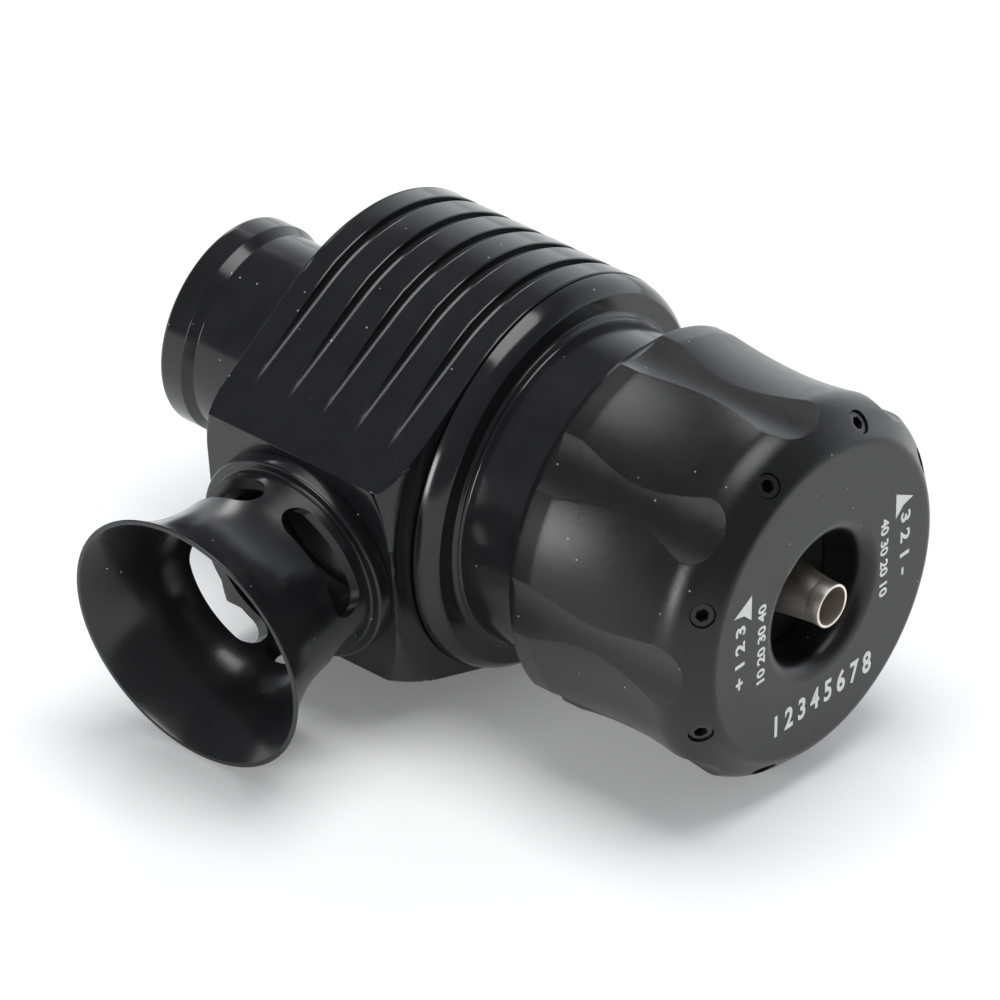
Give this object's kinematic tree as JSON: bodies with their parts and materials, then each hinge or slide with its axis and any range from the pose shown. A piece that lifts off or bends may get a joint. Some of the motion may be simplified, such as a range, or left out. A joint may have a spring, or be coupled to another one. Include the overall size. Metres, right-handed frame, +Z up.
{
  "type": "blow off valve",
  "caption": "Adjustable piston blow off valve with a hose spigot, grooved body, slotted flared horn, and a fluted knob that sets the spring preload round a vacuum nipple.",
  "frame": {"origin": "on the main axis, in the middle of the land of the inlet spigot's hose bead", "axes": "+X along the main axis from the hose inlet to the adjuster knob, +Z up from the surface that the valve lies on, the horn towards -Y"},
  "size_m": [0.092, 0.0762, 0.05],
  "materials": {
    "black_anodised": "gloss black anodised",
    "black_blasted": "bead-blasted black anodised",
    "rubber": "moulded",
    "steel": "ground",
    "black_steel": "black oxide",
    "bare_aluminium": "turned",
    "nickel": "satin nickel plate",
    "ptfe": "moulded",
    "bronze": "turned"
  },
  "bodies": {
    "valve": {"valve_body": "black_anodised", "hose_spigot": "black_anodised", "barrel": "black_anodised", "barrel_seal": "rubber", "horn": "black_anodised", "horn_seal": "rubber", "stop_ring": "steel", "guide_pin": "steel"},
    "piston": {"piston": "bare_aluminium", "piston_seal": "rubber", "guide_ring": "ptfe", "seat_seal": "rubber", "seal_retainer": "bare_aluminium", "retainer_screw": "steel", "main_spring": "steel"},
    "preload": {"preload_carrier": "black_anodised", "carrier_seal": "rubber", "spring_seat": "steel", "vacuum_nipple": "nickel", "thrust_washer": "bronze"},
    "knob": {"adjuster_knob": "black_blasted", "knob_screws": "black_steel"}
  },
  "joints": [
    {"name": "piston_slide", "type": "slide", "parent": "valve", "child": "piston", "axis": [1, 0, 0], "range_m": [0, 0.01], "stiffness_N_per_m": 2500, "springref_m": -0.012, "deforming": ["main_spring"]},
    {"name": "preload_slide", "type": "slide", "parent": "valve", "child": "preload", "axis": [1, 0, 0], "range_m": [-0.004, 0.003], "deforming": ["main_spring"]},
    {"name": "knob_turn", "type": "hinge", "parent": "preload", "child": "knob", "pos_m": [0.0784, 0, 0], "axis": [1, 0, 0], "range_deg": [-720, 540]}
  ],
  "couplings": [
    {"joint": "preload_slide", "follows": "knob_turn", "m_per_rad": 0.00031831}
  ]
}
